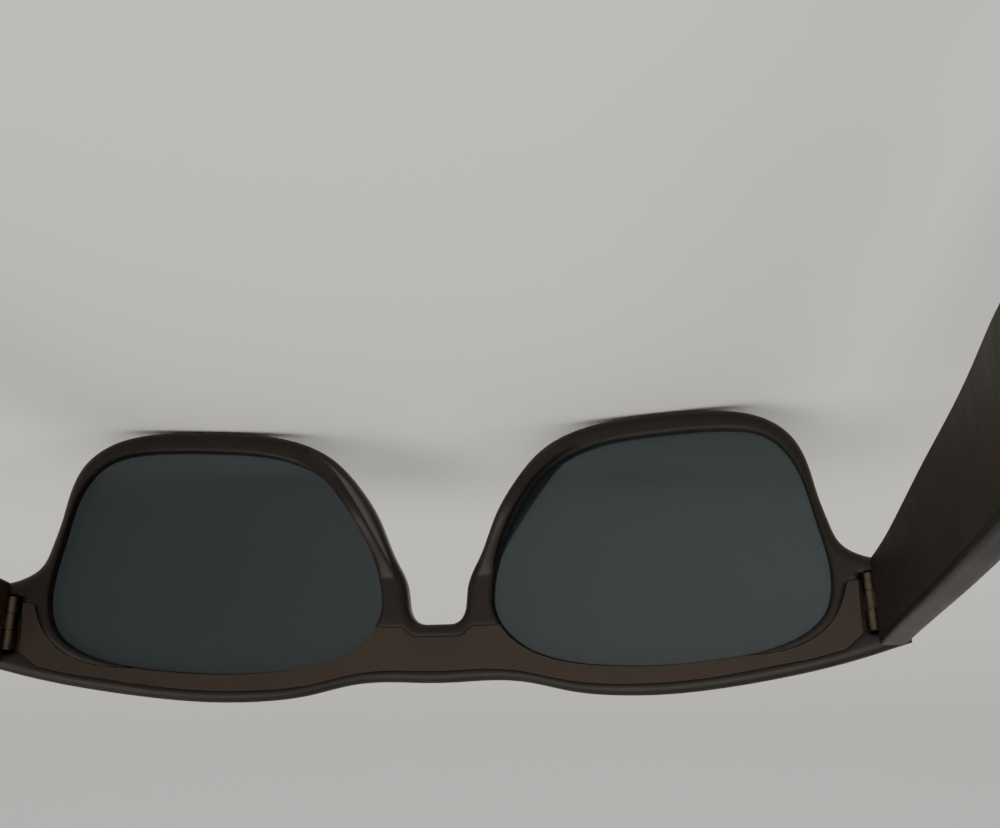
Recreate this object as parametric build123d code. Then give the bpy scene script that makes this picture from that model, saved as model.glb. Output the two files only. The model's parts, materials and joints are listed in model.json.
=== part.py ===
from build123d import *
import math
import os

# Smart glasses with open-ear speakers in the temples.
# Units are millimetres. The design frame has +X to the wearer's left, +Y towards
# the wearer's ears and +Z up. Everything is modelled in it and moved at the end by
# TO_ROW, which puts the origin under the middle of the whole object.

# ---- front frame ----
WRAP_R = 200.0          # radius of the front's wrap around the face, at its rear face
TILT = 7.7              # lens plane leans forward at the top, degrees
FRAME_T = 5.2           # front frame thickness
HALF_WIDTH = 74.5       # middle of the nose to the outer side of a temple
REAR_ROUND = 1.5        # rounding of the rear outer edge
FACE_ROUND = 2.0        # rounding of the front outer edge
LENS_DEPTH = 2.0        # rear face of the frame to the rear face of a lens
LENS_T = 2.0
LENS_LIP = 0.6          # how far a lens reaches into its groove
GROOVE_LIP = 0.85
COVER_T = 1.8           # rear brow cover
COVER_BED = 1.9         # depth of its recess
SEAM_GAP = 0.08         # width of the parting lines

# ---- hinges ----
HINGE_X = 69.0
HINGE_Y = 12.8
BARREL_R = 0.9
BARREL_CLEAR_R = 1.15
SCREW_R = 0.5
PIN_R = 0.45
PIN_HOLE_R = 0.5
LEAF_SCREW_X = 66.4
BARREL_LOW = -1.6
BARREL_HIGH = 6.5
KNUCKLE_GAP = 0.1

# ---- temples ----
INNER_X = 69.3          # inner face of a temple where it meets the hinge
OUTER_WALL = 1.0
COVER_IN_T = 1.1        # flat inner cover of a temple
COVER_TOP_STEP = 1.2    # shell edge that shows above the inner cover
EDGE_WALL = 1.3
CONVERGE = 1.7          # temples lean towards each other, degrees
TEMPLE_FRONT_GAP = 0.35
OUTER_ROUND = 2.4
INNER_ROUND = 0.6
WIRE_X = (INNER_X + HALF_WIDTH) / 2
WIRE_R = 0.6

# ---- controls on the lower edge ----
EDGE_X = 72.0           # they sit in the middle of the shell's lower wall
BUTTON_W = 1.7
BUTTON_PROUD = 0.45
BUTTON_TRAVEL = 0.35
FLANGE_DEPTH = EDGE_WALL + 0.3   # lower edge to the flange that keeps a key in
KEY_LENGTH = 6.0
POWER_LENGTH = 7.0
MIC_Y = 25.6
VOLUME_UP_Y = 34.0
VOLUME_DOWN_Y = 42.0
POWER_Y = 33.0
SOCKET_Y = 42.0
SOCKET_X = 71.8
LIGHT_Y = 48.0
LIGHT_X = 71.2
SPEAKER_Y = 86.0

# ---- row frame ----
TO_ROW = (0.0, -71.3, 31.11)


# Outlines of the front, seen along the lens normal: x outwards, second value up.
LENS_TOP = [
    (9.4, -1.0), (12.5, 5.2), (20.2, 9.0), (28.5, 10.1), (37.0, 10.2), (47.5, 9.2),
    (57.5, 6.7), (62.9, 2.3), (64.0, -3.0),
]
LENS_UNDER = [
    (64.0, -3.0), (62.4, -12.3), (60.2, -20.6), (56.0, -26.0), (48.0, -28.0),
    (37.0, -27.9), (26.5, -26.4), (18.8, -22.1), (13.3, -14.2), (9.9, -5.5), (9.4, -1.0),
]
RIM_POINTS = [
    (5.1, -2.6), (7.4, -8.5), (10.2, -15.4), (14.0, -21.6), (18.7, -26.6),
    (24.8, -29.6), (33.0, -31.1), (41.0, -31.5), (49.5, -31.1), (55.6, -29.4),
    (59.8, -26.0), (62.0, -21.2), (63.2, -15.8), (64.6, -10.9),
]
BROW_POINTS = [
    (HALF_WIDTH, 7.2), (70.0, 8.7), (62.0, 11.0), (54.0, 12.7), (46.0, 14.0),
    (38.0, 14.8), (30.0, 14.9), (22.0, 14.1), (15.0, 12.6), (9.0, 12.2), (0.0, 12.5),
]
SEAM_POINTS = [
    (0.0, 10.5), (9.4, 10.3), (14.5, 10.8), (21.0, 12.2), (29.0, 13.0), (37.0, 12.9),
    (46.0, 12.0), (56.0, 10.2), (65.0, 8.1),
]
STRIP_POINTS = [
    (65.8, -2.0), (65.2, 0.2), (63.6, 3.4), (60.6, 6.2), (56.6, 7.9), (49.6, 8.7),
]
FLEX_POINTS = [
    (0.0, 9.3), (8.0, 9.3), (15.0, 10.4), (24.0, 11.7), (36.0, 12.0), (47.0, 11.2),
    (57.0, 9.5), (64.5, 7.5), (68.2, 7.0), (71.0, 5.2),
]


def flat(points):
    """Points of the front's outline laid in the upright plane through the origin."""
    return [(x, 0.0, up) for x, up in points]


def mirrored_face(half):
    """A face from one half of an outline, drawn from the middle line and back to it."""
    return make_face(Wire(half)) + mirror(make_face(Wire(half)), about=Plane.YZ)


def grown(loop, amount):
    """Points of a clockwise loop moved outwards, square to the line between their neighbours."""
    moved = []
    for before, point, after in zip(loop[-1:] + loop, loop, loop[1:] + loop[:1]):
        along = Vector(after[0] - before[0], after[1] - before[1]).normalized()
        moved.append((point[0] - along.Y * amount, point[1] + along.X * amount))
    return moved


def lens_face(grow=0.0):
    loop = grown(LENS_TOP[:-1] + LENS_UNDER[:-1], grow)
    turn = len(LENS_TOP)
    even = [1, 1]
    upper = Spline(*flat(loop[:turn]), tangents=[(0, 0, 1), (0, 0, -1)], tangent_scalars=even)
    lower = Spline(*flat(loop[turn - 1:] + loop[:1]), tangents=[(0, 0, -1), (0, 0, 1)], tangent_scalars=even)
    return make_face(Wire([upper, lower]))


def frame_face():
    """The front's outline without the lens openings."""
    nose = [
        Line((0, 0, 2.7), (2.0, 0, 2.7)),
        Spline((2.0, 0, 2.7), (4.4, 0, 1.3), (5.1, 0, -2.6), tangents=[(1, 0, 0), (0.1, 0, -1)]),
    ]
    rim = Spline(*flat(RIM_POINTS), tangents=[(0.1, 0, -1), (0.3, 0, 1)])
    corner = Spline(flat(RIM_POINTS)[-1], (66.4, 0, -7.6), (70.0, 0, -5.8), (HALF_WIDTH, 0, -5.6),
                    tangents=[(0.3, 0, 1), (1, 0, 0)])
    end = Line((HALF_WIDTH, 0, -5.6), flat(BROW_POINTS)[0])
    brow = Spline(*flat(BROW_POINTS), tangents=[(-1, 0, 0.3), (-1, 0, 0)])
    middle = Line(flat(BROW_POINTS)[-1], (0, 0, 2.7))
    return mirrored_face(nose + [rim, corner, end, brow, middle])


def cover_face(gap=0.0):
    """The rear brow cover with its seam gap, before the lens openings are taken out of it."""
    slant = 0.7 * gap
    top = Spline(*flat([(x, up - gap) for x, up in SEAM_POINTS]), tangents=[(1, 0, 0), (1, 0, -0.3)])
    strip = Spline(*flat([(x + slant, up + slant) for x, up in STRIP_POINTS]))
    chamfer = [(68.0, 5.3 - gap), (68.0, -2.4 + gap), (66.4, -2.4 + gap)]
    inside = [(48.0, 6.0), (20.0, 0.0), (12.5, 2.9 + gap), (6.0, 3.1 + gap), (4.2, 4.7 + gap)]
    middle = [(0, 0, 4.7 + gap), (0, 0, SEAM_POINTS[0][1] - gap)]
    outer = Polyline(top @ 1, *flat(chamfer), strip @ 0)
    inner = Polyline(strip @ 1, *flat(inside), *middle)
    return mirrored_face([top, *outer.edges(), strip, *inner.edges()])


def slab(near, far):
    """Curved layer of the front between two depths behind its rear face."""
    middle = Pos(0, WRAP_R, 0)
    return middle * (Cylinder(WRAP_R + far, 120) - Cylinder(WRAP_R + near, 130))


def layer(face, near, far):
    """A flat outline pressed into the curved layer between two depths."""
    block = extrude(face, 40, both=True)
    return block & slab(near, far)


def lean(shape):
    """From the lens plane's own frame to the design frame."""
    return Rot(TILT, 0, 0) * shape


def largest(shape):
    """The main solid, without slivers that a cut leaves loose."""
    return max(shape.solids(), key=lambda solid: solid.volume)


def other_side(shape):
    return mirror(shape, about=Plane.YZ)


def both(shape):
    return [shape, other_side(shape)]


def on_depth(shape, depth):
    """Edges of a shape that lie on the curved surface at this depth."""
    def off(edge):
        middle = edge @ 0.5
        return abs(math.hypot(middle.X, middle.Y - WRAP_R) - WRAP_R - depth)
    return [edge for edge in shape.edges() if off(edge) < 0.02]


def cylinder(radius, low, high, x, y):
    """Upright cylinder between two heights."""
    return Pos(x, y, (low + high) / 2) * Cylinder(radius, high - low)


def block(x, y, z):
    """A box from its (low, high) pairs."""
    middle = [(low + high) / 2 for low, high in (x, y, z)]
    return Pos(*middle) * Box(*(high - low for low, high in (x, y, z)))


# ---------------------------------------------------------------- front
def nose_pad():
    """Moulded pad: the nose side of a rim, drawn out towards the wearer."""
    def ring(height, nose, lens):
        out = [(x, height, up) for x, up in nose]
        back = [(x, height, up) for x, up in reversed(lens)]
        sides = [Spline(*out), Line(out[-1], back[0]), Spline(*back), Line(back[-1], out[0])]
        return make_face(Wire(sides))
    base = ring(-1.5, [(5.9, -3.5), (7.9, -8.4), (10.7, -15.2), (14.4, -21.3), (19.3, -26.2), (25.0, -28.9)],
                [(9.3, -3.5), (10.5, -8.7), (12.8, -14.6), (17.2, -21.1), (21.8, -25.0), (26.3, -27.0)])
    crest = ring(6.5, [(7.1, -3.5), (9.0, -8.5), (11.7, -15.4), (15.4, -21.4), (20.3, -26.4), (25.4, -28.9)],
                 [(8.1, -3.5), (10.2, -8.5), (13.2, -14.9), (17.2, -20.7), (21.8, -25.0), (26.2, -27.2)])
    pad = loft([base, crest])
    height = [(-0.25, -3.5), (0.5, -6.2), (2.6, -10.0), (5.3, -16.0), (5.1, -21.0), (2.6, -25.5), (0.2, -29.0)]
    rise = Spline(*[(0, y, up) for y, up in height])
    under = [rise, *Polyline(rise @ 1, (0, -1.6, -29.0), (0, -1.6, -3.5), rise @ 0).edges()]
    return pad & extrude(make_face(Wire(under)), 40, both=True)


def barrel(low, high, radius):
    return cylinder(radius, low, high, HINGE_X, HINGE_Y)


def hinge_pocket():
    """Recess in the front's rear side around the barrel."""
    return block((67.5, 70.2), (10.9, 20.0), (BARREL_LOW - 0.3, BARREL_HIGH + 0.9))


def front_leaf_plate(grow=0.0):
    """Plate of the front hinge leaf, under the rear cover. In the lens plane's frame."""
    face = Pos(67.5, 0, 0.8) * Rot(90, 0, 0) * Rectangle(4.4 + 2 * grow, 7.0 + 2 * grow)
    return layer(face, COVER_BED + 0.02 - grow, COVER_BED + 0.9 + grow)


def flex_band(width, near, far):
    upper = [(x, up + width / 2) for x, up in FLEX_POINTS]
    lower = [(x, up - width / 2) for x, up in reversed(FLEX_POINTS)]
    end = Line(flat(upper)[-1], flat(lower)[0])
    start = Line(flat(lower)[-1], flat(upper)[0])
    half = [Spline(*flat(upper)), end, Spline(*flat(lower)), start]
    return layer(mirrored_face(half), near, far)


def front_frame():
    body = layer(frame_face(), 0, FRAME_T)
    body = fillet(on_depth(body, 0), REAR_ROUND)
    corners = [edge for edge in body.edges() if abs((edge @ 0.5).X) > 74 and edge.length > 5
               and abs((edge @ 0.5).Y - 8.8) < 0.3]
    body = fillet(on_depth(body, FRAME_T) + corners, FACE_ROUND)
    for lens in both(lens_face()):
        body -= layer(lens, -1, FRAME_T + 1)
    for pad in both(nose_pad()):
        body += pad
    groove_near = LENS_DEPTH - 0.1
    for groove in both(lens_face(GROOVE_LIP)):
        body -= layer(groove, groove_near, LENS_DEPTH + LENS_T + 0.1)
    body -= layer(cover_face(), -1, COVER_BED)
    body -= flex_band(1.4, COVER_BED - 0.1, COVER_BED + 0.6)
    for leaf in both(front_leaf_plate(0.12)):
        body -= leaf
    body = lean(body)
    for web in front_leaf_webs(0.12):
        body -= web
        body -= other_side(web)
    for pocket in both(hinge_pocket()):
        body -= pocket
    for screw in front_leaf_screws():
        body -= screw
        body -= other_side(screw)
    for slot in both(flex_slot()):
        body -= slot
    return largest(body)


def brow_flex():
    return lean(flex_band(1.0, COVER_BED + 0.05, COVER_BED + 0.3))


def flex_slot():
    """Way for the hinge's flexible circuit through the end piece and into the temple."""
    return block((70.5, 71.3), (9.2, 16.5), (5.4, 7.5))


def hinge_flex():
    return block((70.8, 71.0), (10.4, 18.5), (5.7, 7.2))


def rear_cover():
    face = cover_face(SEAM_GAP)
    for lens in both(lens_face()):
        face -= lens
    cover = lean(layer(face, 0, COVER_T))
    for pocket in both(hinge_pocket()):
        cover -= pocket
    return largest(cover)


def lens():
    return lean(layer(lens_face(LENS_LIP), LENS_DEPTH, LENS_DEPTH + LENS_T))


# ---------------------------------------------------------------- hinges
def hinge_third(number):
    """Lower and upper height of one of the barrel's three knuckles."""
    pitch = (BARREL_HIGH - BARREL_LOW + KNUCKLE_GAP) / 3
    low = BARREL_LOW + number * pitch
    return low, low + pitch - KNUCKLE_GAP


def front_leaf_webs(grow=0.0):
    """Stubs from the front leaf's plate to its two outer knuckles."""
    webs = []
    for number in (0, 2):
        low, high = hinge_third(number)
        webs.append(block((68.5 - grow, 69.4 + grow), (9.4 - grow, HINGE_Y), (low - grow, high + grow)))
    return webs


def hinge_leaf_front():
    leaf = lean(front_leaf_plate())
    for number, web in zip((0, 2), front_leaf_webs()):
        leaf += web + barrel(*hinge_third(number), BARREL_R)
    leaf -= lean(flex_band(1.4, COVER_BED - 0.1, COVER_BED + 0.6))
    hole = barrel(BARREL_LOW - 1, BARREL_HIGH + 1, PIN_HOLE_R)
    for screw in front_leaf_screw_places():
        leaf -= screw * Cylinder(SCREW_R + 0.05, 8)
    low, high = hinge_third(1)
    return leaf - hole - barrel(low - KNUCKLE_GAP, high + KNUCKLE_GAP, BARREL_R + 0.25)


def front_leaf_screw_places():
    """Screw axes square to the wrapped plate, in the design frame."""
    depth = WRAP_R + COVER_BED + 0.45
    turn = math.degrees(math.asin(LEAF_SCREW_X / depth))
    y = WRAP_R - depth * math.cos(math.radians(turn))
    place = Pos(LEAF_SCREW_X, y, 0) * Rot(0, 0, turn) * Rot(90, 0, 0)
    return [Rot(TILT, 0, 0) * Pos(0, 0, up) * place for up in (-1.2, 2.8)]


def front_leaf_screws():
    """Two small screws that hold a front leaf in its pocket."""
    screws = []
    for place in front_leaf_screw_places():
        shank = place * Pos(0, 0, 0.8) * Cylinder(SCREW_R, 2.4)
        screws.append(shank)
    return screws


def hinge_pin():
    shaft = barrel(BARREL_LOW, BARREL_HIGH, PIN_R)
    head = barrel(BARREL_HIGH, BARREL_HIGH + 0.45, BARREL_R - 0.1)
    slot = block((HINGE_X - 2, HINGE_X + 2), (HINGE_Y - 0.15, HINGE_Y + 0.15),
                 (BARREL_HIGH + 0.25, BARREL_HIGH + 1))
    return shaft + head - slot


# ---------------------------------------------------------------- temples
# Side view of a temple: distance back from the front, then height.
TOP_POINTS = [(13.0, 9.3), (24.0, 8.6), (48.0, 7.2), (75.0, 5.2), (97.0, 2.9)]
EAR_TOP = [(110.0, -0.6), (123.0, -7.4), (136.0, -16.5), (147.4, -25.8)]
EAR_UNDER = [(144.2, -30.5), (133.0, -22.4), (121.0, -14.6), (111.5, -9.8), (103.0, -9.0)]
BELLY = [(97.5, -12.4), (91.0, -14.3), (75.0, -12.1), (50.0, -8.5), (27.0, -5.2), (13.0, -4.1)]
WIRE_POINTS = [(99.0, -3.4), (112.0, -5.4), (126.0, -13.4), (140.0, -23.6)]


def side(points, drop=0.0):
    return [(0.0, y, z + drop) for y, z in points]


def temple_face():
    """Side outline of a whole temple."""
    top = Spline(*side(TOP_POINTS + EAR_TOP), tangents=[(0, 1, -0.06), (0, 1, -0.8)])
    tip = Spline(side(EAR_TOP)[-1], (0.0, 148.8, -29.7), side(EAR_UNDER)[0],
                 tangents=[(0, 1, -0.8), (0, -1, 0.66)])
    under = Spline(*side(EAR_UNDER + BELLY), tangents=[(0, -1, 0.66), (0, -1, 0.05)])
    front = Line(side(BELLY)[-1], side(TOP_POINTS)[0])
    return make_face(Wire([top, tip, under, front]))


def inner_cover_face(gap=0.0):
    """Side outline of the flat inner cover: up to the lower edge, a step below the top."""
    drop = -COVER_TOP_STEP - gap
    points = side([(10.0, 9.5)] + TOP_POINTS[1:], drop)
    top = Spline(*points, tangents=[(0, 1, -0.06), (0, 1, -0.14)])
    back = Spline(points[-1], (0, 100.5 - gap, -3.5), (0, 97.0 - gap, -20.0),
                  tangents=[(0, 1, -0.14), (0, -0.2, -1)])
    low = Polyline((0, 97.0 - gap, -20.0), (0, 10.0, -20.0), points[0])
    return make_face(Wire([top, back, *low.edges()]))


def through(face, low, high):
    """A side outline made into a block between two distances from the middle plane."""
    return Pos(low, 0, 0) * extrude(face, high - low, dir=(1, 0, 0))


def behind_front():
    """All the space that a temple may fill behind the wrapped end of the front."""
    return lean(Pos(0, WRAP_R, 0) * Cylinder(WRAP_R - TEMPLE_FRONT_GAP, 200))


def seated(shape, sense=1):
    """Turn a straight temple's part about its hinge to its slight inward lean."""
    return Pos(HINGE_X, HINGE_Y, 0) * Rot(0, 0, sense * CONVERGE) * Pos(-HINGE_X, -HINGE_Y, 0) * shape


def solid_temple():
    """A temple's outside as one rounded solid, before it is split into its pieces."""
    body = through(temple_face(), INNER_X, HALF_WIDTH)

    def rim(x):
        return [e for e in body.edges() if abs(e.center().X - x) < 0.01 and (e @ 0.5).Y > 13.5]
    body = fillet(rim(HALF_WIDTH), OUTER_ROUND)
    body = fillet(rim(INNER_X), INNER_ROUND)
    return body & seated(behind_front(), -1)


def cavity():
    """Hollow of a temple, open towards the inner cover."""
    top = Spline(*side(TOP_POINTS, -EDGE_WALL))
    under = Spline(*side(BELLY[1:], EDGE_WALL))
    ends = [Line(top @ 1, under @ 0), Line(under @ 1, top @ 0)]
    room = through(make_face(Wire([top, ends[0], under, ends[1]])), INNER_X + COVER_IN_T, HALF_WIDTH - OUTER_WALL)
    return room & block((0, 200), (15.8, 95.0), (-60, 60))


def wire_path():
    return FilletPolyline(*[(WIRE_X, y, z) for y, z in WIRE_POINTS], radius=22)


def core_wire(radius):
    path = wire_path()
    start = Plane(origin=path @ 0, z_dir=path % 0)
    return sweep(start * Circle(radius), path)


def hinge_slot(grow):
    """Room for the temple leaf's neck in the temple's front end."""
    low, high = hinge_third(1)
    return block((HINGE_X - 1, 71.55), (12.2, 13.75 + grow), (low - grow, high + grow))


def hinge_leaf_temple():
    low, high = hinge_third(1)
    plate = block((70.5, 71.4), (14.0, 24.5), (-1.0, 5.0))
    neck = block((HINGE_X + 0.2, 71.0), (13.25, 13.75), (low, high))
    riser = block((70.5, 71.4), (13.45, 14.2), (low, high))
    leaf = plate + neck + riser + barrel(low, high, BARREL_R)
    for place in temple_screw_places():
        leaf -= place * Cylinder(SCREW_R + 0.05, 8)
    return leaf - barrel(low - 1, high + 1, PIN_HOLE_R)


def temple_screw_places():
    return [Pos(71.4, 22.3, z) * Rot(0, 90, 0) for z in (0.4, 4.0)]


def temple_screws():
    """Two small screws through the temple leaf into bosses of the shell."""
    return [place * Pos(0, 0, 0.5) * Cylinder(SCREW_R, 2.4) for place in temple_screw_places()]


# Places along the lower edge: the edge runs almost straight between these two points.
EDGE_A = (30.0, -5.6)
EDGE_B = (84.0, -13.5)
EDGE_ANGLE = math.degrees(math.atan2(EDGE_B[1] - EDGE_A[1], EDGE_B[0] - EDGE_A[0]))


def edge_place(along, x=None):
    """Frame on the lower edge, local Y along the edge to the rear and Z into the temple."""
    share = (along - EDGE_A[0]) / (EDGE_B[0] - EDGE_A[0])
    height = EDGE_A[1] + share * (EDGE_B[1] - EDGE_A[1])
    return Pos(EDGE_X if x is None else x, along, height) * Rot(EDGE_ANGLE, 0, 0)


def pill(length, width, height):
    """Upright block with round ends, its length along local Y."""
    return extrude(SlotOverall(length, width, rotation=90), height)


def button(length):
    """Key cap with a flange that keeps it in the wall."""
    cap = pill(length, BUTTON_W, BUTTON_PROUD + FLANGE_DEPTH + 0.3)
    cap = chamfer(cap.faces().sort_by(Axis.Z)[0].edges(), 0.2)
    flange = Pos(0, 0, BUTTON_PROUD + FLANGE_DEPTH) * pill(length + 1.0, BUTTON_W + 0.6, 0.5)
    return Pos(0, 0, -BUTTON_PROUD) * (cap + flange)


def button_hole(length):
    return Pos(0, 0, -1) * pill(length + 0.24, BUTTON_W + 0.24, EDGE_WALL + 1.6)


def speaker_slot(grow=0.0):
    return edge_place(SPEAKER_Y) * Pos(0, 0, -1) * pill(8.0 + grow, 1.6 + grow, EDGE_WALL + 3)


def charge_socket(grow=0.0):
    """Small rectangular charging socket, mouth in the lower edge."""
    size = (2.6 + 2 * grow, 7.6 + 2 * grow, 5.2 + 2 * grow)
    return edge_place(SOCKET_Y, SOCKET_X) * Pos(0, 0, 0.25 + 2.6) * Box(*size)


def common_cuts():
    """What is taken out of both shells."""
    return [
        cavity(),
        through(inner_cover_face(), INNER_X - 1, INNER_X + COVER_IN_T),
        core_wire(WIRE_R + 0.08),
        barrel(BARREL_LOW - 0.3, BARREL_HIGH + 0.9, BARREL_CLEAR_R),
        hinge_slot(0.12),
        block((70.3, 71.55), (13.7, 24.65), (-1.12, 5.12)),
        flex_slot(),
        speaker_slot(),
        edge_place(MIC_Y) * Cylinder(0.4, 8),
    ]


def screw_bosses():
    return [Pos(72.75, 22.3, z) * Rot(0, 90, 0) * Cylinder(1.3, 2.5) for z in (0.4, 4.0)]


def temple_shell(extra_cuts):
    shell = solid_temple()
    for cut in common_cuts() + extra_cuts:
        shell -= cut
    for boss in screw_bosses():
        shell += boss
    for screw in temple_screws():
        shell -= screw
    return largest(shell)


def temple_cover():
    cover = through(inner_cover_face(SEAM_GAP), INNER_X - 1, INNER_X + COVER_IN_T - 0.05) & solid_temple()
    cover -= barrel(BARREL_LOW - 0.3, BARREL_HIGH + 0.9, BARREL_CLEAR_R)
    cover -= hinge_slot(0.12)
    return largest(cover)


def battery():
    cell = fillet(Box(2.7, 30.0, 9.4).edges().filter_by(Axis.Y), 0.7)
    return Pos(71.95, 62.0, -2.0) * Rot(-6.2, 0, 0) * cell


def circuit_board(switches):
    """Board against the outer wall, with chips and a side-acting switch per button."""
    board = Pos(72.95, 37.2, 0.9) * Rot(-6.0, 0, 0) * Box(0.8, 17.6, 8.4)
    for y, z, long, high in ((31.0, 2.4, 5.0, 4.0), (38.5, 1.2, 4.0, 4.0), (43.0, 0.4, 2.6, 3.4)):
        board += Pos(72.1, y, z) * Box(1.1, long, high)
    for along in switches:
        gap = FLANGE_DEPTH + 0.5 + BUTTON_TRAVEL + 0.1
        board += edge_place(along) * Pos(0.3, 0, gap + 0.8) * Box(1.6, 3.0, 1.6)
    return board


def speaker():
    case = fillet(Box(2.8, 13.0, 8.4).edges().filter_by(Axis.X), 1.6)
    cone = Pos(-1.4, 0, 0) * Rot(0, 90, 0) * Cylinder(2.6, 0.5)
    return Pos(71.95, SPEAKER_Y, -6.5) * Rot(-8.3, 0, 0) * (case - cone)


def speaker_mesh():
    return edge_place(SPEAKER_Y) * Pos(0, 0, 0.35) * pill(7.9, 1.5, 0.4)


def microphone():
    body = edge_place(MIC_Y) * Pos(0, 0, EDGE_WALL + 0.65) * Box(2.4, 3.4, 1.1)
    return body - edge_place(MIC_Y) * Cylinder(0.3, 3.6)


def charge_port():
    shell = charge_socket()
    mouth = edge_place(SOCKET_Y, SOCKET_X) * Box(1.9, 6.9, 9.0)
    tongue = edge_place(SOCKET_Y, SOCKET_X) * Pos(0, 0, 3.0) * Box(0.7, 4.4, 4.2)
    return shell - mouth + tongue & charge_socket()


def status_light():
    return edge_place(LIGHT_Y, LIGHT_X) * Pos(0, 0, 0.95) * Cylinder(0.6, 1.9)


# ---------------------------------------------------------------- assembly
def left_temple():
    keys = {"volume_up_button": VOLUME_UP_Y, "volume_down_button": VOLUME_DOWN_Y}
    cuts = [edge_place(along) * button_hole(KEY_LENGTH) for along in keys.values()]
    nodes = {"temple_shell_left": temple_shell(cuts), "side_board": circuit_board(keys.values())}
    for name, along in keys.items():
        nodes[name] = edge_place(along) * button(KEY_LENGTH)
    return nodes


def right_temple():
    """Drawn on the left and mirrored later."""
    power = edge_place(POWER_Y)
    cuts = [power * button_hole(POWER_LENGTH), charge_socket(0.08), edge_place(LIGHT_Y, LIGHT_X) * Cylinder(0.65, 6)]
    board = circuit_board([POWER_Y]) - charge_socket(0.15)
    return {
        "temple_shell_right": temple_shell(cuts),
        "main_board": largest(board),
        "power_button": power * button(POWER_LENGTH),
        "charge_port": charge_port(),
        "status_light": status_light(),
    }


def shared_temple_parts():
    return {
        "temple_cover": temple_cover(),
        "hinge_leaf_temple": hinge_leaf_temple(),
        "temple_leaf_screws": Compound(children=temple_screws()),
        "battery": battery(),
        "speaker": speaker(),
        "speaker_mesh": speaker_mesh(),
        "microphone": microphone(),
        "core_wire": core_wire(WIRE_R),
    }


def front_parts():
    return {
        "lens": lens(),
        "hinge_leaf_front": hinge_leaf_front(),
        "front_leaf_screws": Compound(children=front_leaf_screws()),
        "hinge_pin": hinge_pin(),
        "hinge_flex": hinge_flex(),
    }


def assemble():
    nodes = {"front_frame": front_frame(), "brow_cover": rear_cover(), "brow_flex": brow_flex()}
    for name, shape in front_parts().items():
        nodes[name + "_left"] = shape
        nodes[name + "_right"] = other_side(shape)
    for name, shape in shared_temple_parts().items():
        nodes[name + "_left"] = seated(shape)
        nodes[name + "_right"] = other_side(seated(shape))
    for name, shape in left_temple().items():
        nodes[name] = seated(shape)
    for name, shape in right_temple().items():
        nodes[name] = other_side(seated(shape))
    return nodes


os.makedirs("parts", exist_ok=True)
for node, solid in assemble().items():
    export_step(Pos(*TO_ROW) * solid, f"parts/{node}.step")
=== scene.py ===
import bpy
import json
import math
from mathutils import Matrix, Vector

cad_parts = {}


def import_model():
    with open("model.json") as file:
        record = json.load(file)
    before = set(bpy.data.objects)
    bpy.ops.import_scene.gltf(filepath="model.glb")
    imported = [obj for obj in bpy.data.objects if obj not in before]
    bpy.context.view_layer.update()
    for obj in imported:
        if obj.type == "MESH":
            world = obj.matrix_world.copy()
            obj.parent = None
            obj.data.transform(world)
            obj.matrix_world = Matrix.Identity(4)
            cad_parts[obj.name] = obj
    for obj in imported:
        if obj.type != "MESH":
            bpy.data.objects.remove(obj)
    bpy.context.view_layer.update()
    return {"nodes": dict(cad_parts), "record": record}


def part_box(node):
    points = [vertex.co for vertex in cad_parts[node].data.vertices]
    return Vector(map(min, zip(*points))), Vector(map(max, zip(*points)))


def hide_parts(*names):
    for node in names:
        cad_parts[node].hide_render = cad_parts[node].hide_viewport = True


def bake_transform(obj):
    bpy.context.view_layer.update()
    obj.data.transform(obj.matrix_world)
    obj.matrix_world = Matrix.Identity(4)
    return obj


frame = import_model()

# Metres throughout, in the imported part's frame: +X to the wearer's left, +Y towards the
# ears, +Z up. A texture scale of 1000 repeats about once a millimetre.
RANGE_SOCKETS = ("From Min", "From Max", "To Min", "To Max")
WEAVE_PITCH = 0.0004        # speaker mesh, from one opening to the next
WORN_EDGE = 0.00025         # how far wear reaches from a sharp edge
GRAIN_DEPTH = 0.000014
FLEX_STEPS = 36             # sections of a hinge's flexible strip
FLEX_BEND_START = -0.0005   # offset from the hinge's axis towards the ears, for a start point that nothing uses; the strip is not bent
FLOOR_REACH = 20.0
SWEEP_RADIUS = 0.8          # curve from the floor up to the backdrop
SWEEP_START = -1.2
BACKDROP_TOP = 12.0
AIM = (0, 0, 0.02)          # the lights point at the middle of the glasses
EYE = (0.03008, 0.11144, 0.05957)
EYE_RIGHT = (0.9943, -0.1062, 0.0092)
EYE_DOWN = (-0.0430, -0.3208, 0.9462)


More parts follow.
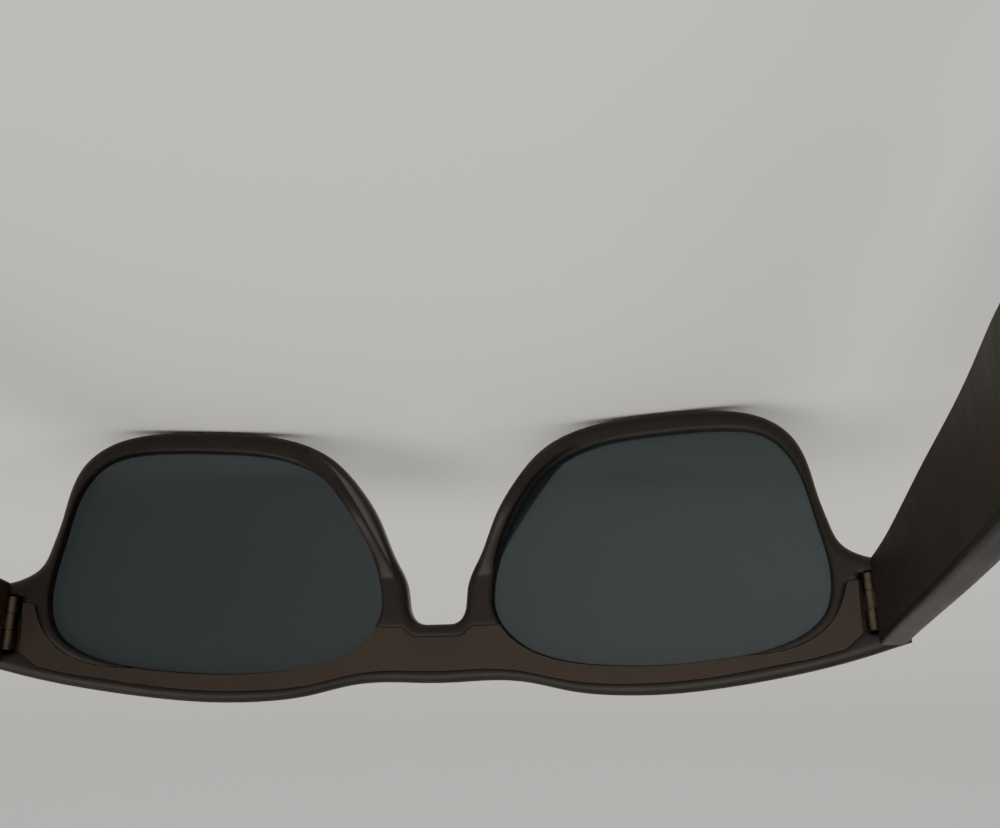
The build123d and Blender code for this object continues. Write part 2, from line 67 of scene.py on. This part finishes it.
# ---------------------------------------------------------------- material helpers
class Finish:
    """A Principled material and the few node patterns that the finishes share."""

    def __init__(self, name, colour, roughness, metallic=0.0):
        self.material = bpy.data.materials.new(name)
        self.material.use_nodes = True
        self.tree = self.material.node_tree
        self.shader = self.tree.nodes["Principled BSDF"]
        self.set("Base Color", (*colour, 1.0))
        self.set("Roughness", roughness)
        self.set("Metallic", metallic)
        self.place = self.node("ShaderNodeTexCoord").outputs["Object"]

    def node(self, kind, **values):
        node = self.tree.nodes.new(kind)
        for name, value in values.items():
            setattr(node, name, value)
        return node

    def link(self, output, socket):
        self.tree.links.new(output, socket)

    def set(self, socket, value):
        self.shader.inputs[socket].default_value = value

    def drive(self, socket, output):
        self.link(output, self.shader.inputs[socket])

    def stretched(self, scale):
        """Object coordinates scaled differently along each axis."""
        mapping = self.node("ShaderNodeMapping")
        mapping.inputs["Scale"].default_value = scale
        self.link(self.place, mapping.inputs["Vector"])
        return mapping.outputs["Vector"]

    def noise(self, scale, detail=3.0, place=None):
        noise = self.node("ShaderNodeTexNoise")
        noise.inputs["Scale"].default_value = scale
        noise.inputs["Detail"].default_value = detail
        self.link(place or self.place, noise.inputs["Vector"])
        return noise.outputs["Fac"]

    def ramp(self, value, low, high, out_low=0.0, out_high=1.0):
        """Clamped linear map of a value."""
        ramp = self.node("ShaderNodeMapRange")
        for socket, number in zip(RANGE_SOCKETS, (low, high, out_low, out_high)):
            ramp.inputs[socket].default_value = number
        self.link(value, ramp.inputs["Value"])
        return ramp.outputs["Result"]

    def math(self, operation, a, b):
        node = self.node("ShaderNodeMath", operation=operation)
        for socket, value in zip(node.inputs, (a, b)):
            if isinstance(value, (int, float)):
                socket.default_value = value
            else:
                self.link(value, socket)
        return node.outputs["Value"]

    def mixed(self, share, first, second):
        """Two colours mixed; each is a colour triple or an output."""
        mix = self.node("ShaderNodeMix", data_type="RGBA")
        self.link(share, mix.inputs["Factor"])
        for socket, colour in (("A", first), ("B", second)):
            target = [s for s in mix.inputs if s.name == socket and s.type == "RGBA"][0]
            if isinstance(colour, tuple):
                target.default_value = (*colour, 1.0)
            else:
                self.link(colour, target)
        return [s for s in mix.outputs if s.type == "RGBA"][0]

    def edges(self, radius):
        """1 on sharp edges within a radius, 0 on flat and gently curved faces."""
        bevel = self.node("ShaderNodeBevel", samples=4)
        bevel.inputs["Radius"].default_value = radius
        geometry = self.node("ShaderNodeNewGeometry")
        dot = self.node("ShaderNodeVectorMath", operation="DOT_PRODUCT")
        self.link(bevel.outputs["Normal"], dot.inputs[0])
        self.link(geometry.outputs["Normal"], dot.inputs[1])
        return self.ramp(dot.outputs["Value"], 0.995, 0.9)

    def specks(self, scale, widest, patch_scale, rare, common):
        """Scattered round specks, only where a slow noise passes from rare to common."""
        cells = self.node("ShaderNodeTexVoronoi")
        cells.inputs["Scale"].default_value = scale
        self.link(self.place, cells.inputs["Vector"])
        spots = self.ramp(cells.outputs["Distance"], widest, 0.03)
        return self.math("MULTIPLY", spots, self.ramp(self.noise(patch_scale), rare, common))

    def bump(self, height, depth, before=None):
        """Bump by a height; before is the normal that it starts from."""
        bump = self.node("ShaderNodeBump")
        bump.inputs["Strength"].default_value = 1.0
        bump.inputs["Distance"].default_value = depth
        self.link(height, bump.inputs["Height"])
        if before:
            self.link(before, bump.inputs["Normal"])
        self.drive("Normal", bump.outputs["Normal"])
        return bump.outputs["Normal"]


def plastic(name, colour, roughness, grain=2600.0, brushed=None, dust=0.0, soft=0.0):
    """Satin moulded plastic: fine grain, handled patches, worn edges and a little dust.

    brushed is the scale of its streaks, and soft the radius that rounds its creases.
    """
    finish = Finish(name, colour, roughness)
    finish.set("Specular IOR Level", 0.28)
    patches = finish.noise(90.0)
    worn = tuple(c * 1.9 + 0.004 for c in colour)
    base = finish.mixed(finish.ramp(patches, 0.3, 0.7), colour, tuple(c * 1.25 for c in colour))
    wear = finish.math("MULTIPLY", finish.edges(WORN_EDGE), finish.ramp(finish.noise(700.0), 0.4, 0.65))
    base = finish.mixed(wear, base, worn)
    scratches = finish.noise(1.0, 2.0, finish.stretched((5200.0, 260.0, 700.0)))
    scuffs = finish.math("MULTIPLY", finish.ramp(scratches, 0.62, 0.74), finish.ramp(patches, 0.5, 0.62))
    base = finish.mixed(finish.math("MULTIPLY", scuffs, 0.35), base, worn)
    if dust:
        spots = finish.math("MULTIPLY", finish.specks(330.0, 0.05, 160.0, 0.6, 0.66), dust)
        base = finish.mixed(spots, base, (0.30, 0.28, 0.25))
    finish.drive("Base Color", base)
    rough = finish.ramp(patches, 0.25, 0.75, roughness - 0.05, roughness + 0.07)
    rough = finish.math("ADD", rough, finish.math("MULTIPLY", scuffs, 0.12))
    if brushed:
        streaks = finish.noise(1.0, 3.0, finish.stretched(brushed))
        rough = finish.math("ADD", rough, finish.ramp(streaks, 0.35, 0.65, -0.03, 0.03))
        lines = finish.bump(streaks, 0.000004)
        finish.bump(finish.noise(grain, 2.0), 0.000012, lines)
    elif soft:
        rounded = finish.node("ShaderNodeBevel", samples=6)
        rounded.inputs["Radius"].default_value = soft
        finish.bump(finish.noise(grain, 2.0), GRAIN_DEPTH, rounded.outputs["Normal"])
    else:
        finish.bump(finish.noise(grain, 2.0), GRAIN_DEPTH)
    finish.drive("Roughness", rough)
    return finish.material


def metal(name, colour, roughness, streak):
    """Turned or brushed metal with fine streaks and faint tarnish."""
    finish = Finish(name, colour, roughness, 1.0)
    finish.set("Anisotropic", 0.4)
    tarnish = finish.ramp(finish.noise(900.0), 0.45, 0.75)
    base = finish.mixed(tarnish, colour, tuple(c * 0.62 for c in colour))
    finish.drive("Base Color", base)
    lines = finish.noise(1.0, 2.0, finish.stretched(streak))
    finish.drive("Roughness", finish.ramp(lines, 0.3, 0.7, roughness - 0.08, roughness + 0.12))
    finish.bump(lines, 0.00001)
    return finish.material


def tinted_lens():
    """Dark tint with a smear of fingerprint and a few specks of dust."""
    colour = (0.006, 0.0105, 0.0135)
    finish = Finish("tinted_lens", colour, 0.05)
    finish.set("IOR", 1.52)
    finish.set("Specular IOR Level", 0.6)
    finish.set("Specular Tint", (0.86, 0.97, 1.0, 1.0))
    finish.set("Alpha", 0.93)
    smear = finish.ramp(finish.noise(26.0, 1.5), 0.35, 0.75)
    finish.drive("Roughness", finish.ramp(smear, 0.0, 1.0, 0.06, 0.16))
    spots = finish.specks(260.0, 0.045, 120.0, 0.64, 0.68)
    base = finish.mixed(smear, colour, (0.009, 0.0145, 0.0175))
    finish.drive("Base Color", finish.mixed(spots, base, (0.35, 0.34, 0.33)))
    return finish.material


def mesh_grille():
    """Fine woven grille: small openings in a regular grid, painted near-black as painted shade seen
    through them.
    """
    finish = Finish("speaker_mesh", (0.03, 0.03, 0.03), 0.4, 0.8)
    split = finish.node("ShaderNodeSeparateXYZ")
    finish.link(finish.place, split.inputs["Vector"])
    waves = []
    for axis in ("X", "Y"):
        turn = finish.math("MULTIPLY", split.outputs[axis], 2 * math.pi / WEAVE_PITCH)
        waves.append(finish.math("SINE", turn, 0.0))
    weave = finish.math("MULTIPLY", *waves)
    shaded_opening = finish.ramp(weave, 0.15, 0.4)
    # openings painted near-black: painted shade behind the grille
    finish.drive("Base Color", finish.mixed(shaded_opening, (0.05, 0.05, 0.05), (0.002, 0.002, 0.002)))
    finish.bump(finish.math("SUBTRACT", 1.0, shaded_opening), 0.00006)
    return finish.material


def circuit():
    """Solder mask with fine copper tracks and pads showing through it."""
    finish = Finish("circuit_board", (0.01, 0.06, 0.03), 0.35)
    tracks = finish.node("ShaderNodeTexBrick")
    tracks.inputs["Scale"].default_value = 1400.0
    tracks.inputs["Mortar Size"].default_value = 0.06
    finish.link(finish.place, tracks.inputs["Vector"])
    base = finish.mixed(tracks.outputs["Fac"], (0.008, 0.05, 0.025), (0.03, 0.14, 0.06))
    finish.drive("Base Color", base)
    finish.bump(tracks.outputs["Fac"], 0.00002)
    return finish.material


def film(name, colour, roughness, metallic, wrinkle):
    """Thin foil or film with soft wrinkles, painted darker in their hollows as painted shade."""
    finish = Finish(name, colour, roughness, metallic)
    folds_and_shade = finish.noise(wrinkle, 4.0)
    # colour darkens where the wrinkles are lowest: painted shade in their hollows
    finish.drive("Base Color", finish.mixed(folds_and_shade, tuple(c * 0.8 for c in colour), colour))
    finish.bump(folds_and_shade, 0.0001)
    return finish.material


def light_guide():
    """Milky light guide, unlit, with a faint mottling inside."""
    finish = Finish("status_light", (0.7, 0.7, 0.67), 0.25)
    finish.set("Transmission Weight", 0.3)
    clouds = finish.noise(1500.0)
    finish.drive("Base Color", finish.mixed(clouds, (0.6, 0.6, 0.57), (0.78, 0.78, 0.75)))
    return finish.material


FINISHES = {
    "frame_plastic": plastic("frame_plastic", (0.0070, 0.0040, 0.0020), 0.38, dust=0.6, soft=0.0011),
    "cover_plastic": plastic("cover_plastic", (0.0230, 0.0145, 0.0084), 0.46, grain=3400.0, dust=0.6),
    "lens": tinted_lens(),
    "temple_plastic": plastic("temple_plastic", (0.0070, 0.0043, 0.0025), 0.46),
    "temple_inner_plastic": plastic("temple_inner_plastic", (0.0110, 0.0066, 0.0034), 0.55,
                                    brushed=(900.0, 2600.0, 60.0)),
    "button_plastic": plastic("button_plastic", (0.011, 0.009, 0.0075), 0.34, grain=4200.0),
    "speaker_plastic": plastic("speaker_plastic", (0.014, 0.014, 0.014), 0.5),
    "hinge_metal": metal("hinge_metal", (0.115, 0.088, 0.064), 0.42, (400.0, 400.0, 5200.0)),
    "screw_metal": metal("screw_metal", (0.48, 0.47, 0.45), 0.32, (3800.0, 3800.0, 3800.0)),
    "core_wire": metal("core_wire", (0.42, 0.42, 0.42), 0.35, (5200.0, 300.0, 5200.0)),
    "port_metal": metal("port_metal", (0.42, 0.42, 0.43), 0.34, (900.0, 4200.0, 900.0)),
    "microphone_can": metal("microphone_can", (0.62, 0.62, 0.62), 0.3, (4200.0, 900.0, 900.0)),
    "speaker_mesh": mesh_grille(),
    "circuit_board": circuit(),
    "flex_circuit": film("flex_circuit", (0.36, 0.17, 0.03), 0.3, 0.0, 900.0),
    "battery_foil": film("battery_foil", (0.62, 0.63, 0.65), 0.28, 1.0, 500.0),
    "status_light": light_guide(),
}


# ---------------------------------------------------------------- pieces
def dress_cad_nodes():
    """Give every CAD node the finish of its slot in the record."""
    slots = {entry["node"]: entry["material_slot"] for entry in frame["record"]["subparts"]}
    for node, piece in frame["nodes"].items():
        piece.data.materials.clear()
        piece.data.materials.append(FINISHES[slots[node]])


def hinge_flex(side):
    """Flexible circuit strip, built straight in many sections, in place of its stiff CAD solid."""
    low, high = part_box("hinge_flex_" + side)
    middle = (low[0] + high[0]) / 2
    half = (high[0] - low[0]) / 2
    corners = [(-half, low[2]), (half, low[2]), (half, high[2]), (-half, high[2])]
    points = []
    for step in range(FLEX_STEPS + 1):
        y = low[1] + (high[1] - low[1]) * step / FLEX_STEPS
        points += [(middle + across, y, z) for across, z in corners]
    faces = [(0, 1, 2, 3), tuple(4 * FLEX_STEPS + i for i in (3, 2, 1, 0))]
    for step in range(FLEX_STEPS):
        start = 4 * step
        for i in range(4):
            j = (i + 1) % 4
            faces.append((start + i, start + 4 + i, start + 4 + j, start + j))
    mesh = bpy.data.meshes.new("flex_strip_" + side)
    mesh.from_pydata(points, [], faces)
    mesh.materials.append(FINISHES["flex_circuit"])
    strip = bpy.data.objects.new("flex_strip_" + side, mesh)
    bpy.context.scene.collection.objects.link(strip)
    joints = {joint["name"]: joint for joint in frame["record"]["behaviour"]["joints"]}
    pivot = joints[side + "_temple_hinge"]["pos_m"][1]
    start = (middle, pivot + FLEX_BEND_START, low[2])
    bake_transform(strip)
    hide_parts("hinge_flex_" + side)


# ---------------------------------------------------------------- stage
def area_light(name, place, size, power, colour):
    light = bpy.data.lights.new(name, "AREA")
    light.shape = "DISK"
    light.size = size
    light.energy = power
    light.color = colour
    lamp = bpy.data.objects.new(name, light)
    lamp.location = place
    lamp.rotation_euler = (Vector(AIM) - Vector(place)).to_track_quat("-Z", "Y").to_euler()
    bpy.context.scene.collection.objects.link(lamp)


def floor():
    """Pale floor that rises in a wide curve beyond the front."""
    profile = [(FLOOR_REACH, 0.0)]
    for degrees in range(0, 91, 6):
        turn = math.radians(degrees)
        profile.append((SWEEP_START - SWEEP_RADIUS * math.sin(turn), SWEEP_RADIUS * (1 - math.cos(turn))))
    profile.append((SWEEP_START - SWEEP_RADIUS, BACKDROP_TOP))
    points = [(x, y, z) for y, z in profile for x in (-FLOOR_REACH, FLOOR_REACH)]
    faces = [(i, i + 1, i + 3, i + 2) for i in range(0, len(points) - 2, 2)]
    mesh = bpy.data.meshes.new("floor")
    mesh.from_pydata(points, [], faces)
    mesh.shade_smooth()
    mesh.materials.append(Finish("pale_floor", (0.86, 0.86, 0.85), 0.8).material)
    piece = bpy.data.objects.new("floor", mesh)
    bpy.context.scene.collection.objects.link(piece)


def world():
    """Soft surroundings: brighter behind the wearer's right side, dim beyond the front."""
    surroundings = bpy.data.worlds.new("studio")
    surroundings.use_nodes = True
    tree = surroundings.node_tree
    background = tree.nodes["Background"]
    background.inputs["Color"].default_value = (1.0, 0.97, 0.93, 1.0)
    split = tree.nodes.new("ShaderNodeSeparateXYZ")
    tree.links.new(tree.nodes.new("ShaderNodeTexCoord").outputs["Generated"], split.inputs["Vector"])
    product = tree.nodes.new("ShaderNodeMath")
    product.operation = "MULTIPLY"
    spans = {"X": (-0.5, 0.35, 1.25, 0.45), "Y": (-0.7, 0.3, 0.45, 0.9)}
    for socket, (axis, span) in zip(product.inputs, spans.items()):
        ramp = tree.nodes.new("ShaderNodeMapRange")
        ramp.interpolation_type = "SMOOTHSTEP"
        for name, number in zip(RANGE_SOCKETS, span):
            ramp.inputs[name].default_value = number
        tree.links.new(split.outputs[axis], ramp.inputs["Value"])
        tree.links.new(ramp.outputs["Result"], socket)
    tree.links.new(product.outputs["Value"], background.inputs["Strength"])
    bpy.context.scene.world = surroundings


def camera():
    """Eye behind and above the temple tips, held upside down over the glasses."""
    data = bpy.data.cameras.new("camera")
    data.lens = 39.0
    data.sensor_width = 36.0
    data.clip_start = 0.005
    eye = bpy.data.objects.new("camera", data)
    right = Vector(EYE_RIGHT)
    down = Vector(EYE_DOWN)
    ahead = right.cross(down).normalized()
    turn = Matrix((right, -down, -ahead)).transposed()
    eye.matrix_world = Matrix.Translation(EYE) @ turn.to_4x4()
    bpy.context.scene.collection.objects.link(eye)
    bpy.context.scene.camera = eye


dress_cad_nodes()
for side in ("left", "right"):
    hinge_flex(side)
floor()
world()
area_light("key", (-0.25, 0.55, 0.65), 0.60, 2.6, (1.0, 0.94, 0.86))
area_light("fill", (0.45, 0.35, 0.60), 0.50, 1.0, (1.0, 0.96, 0.90))
camera()
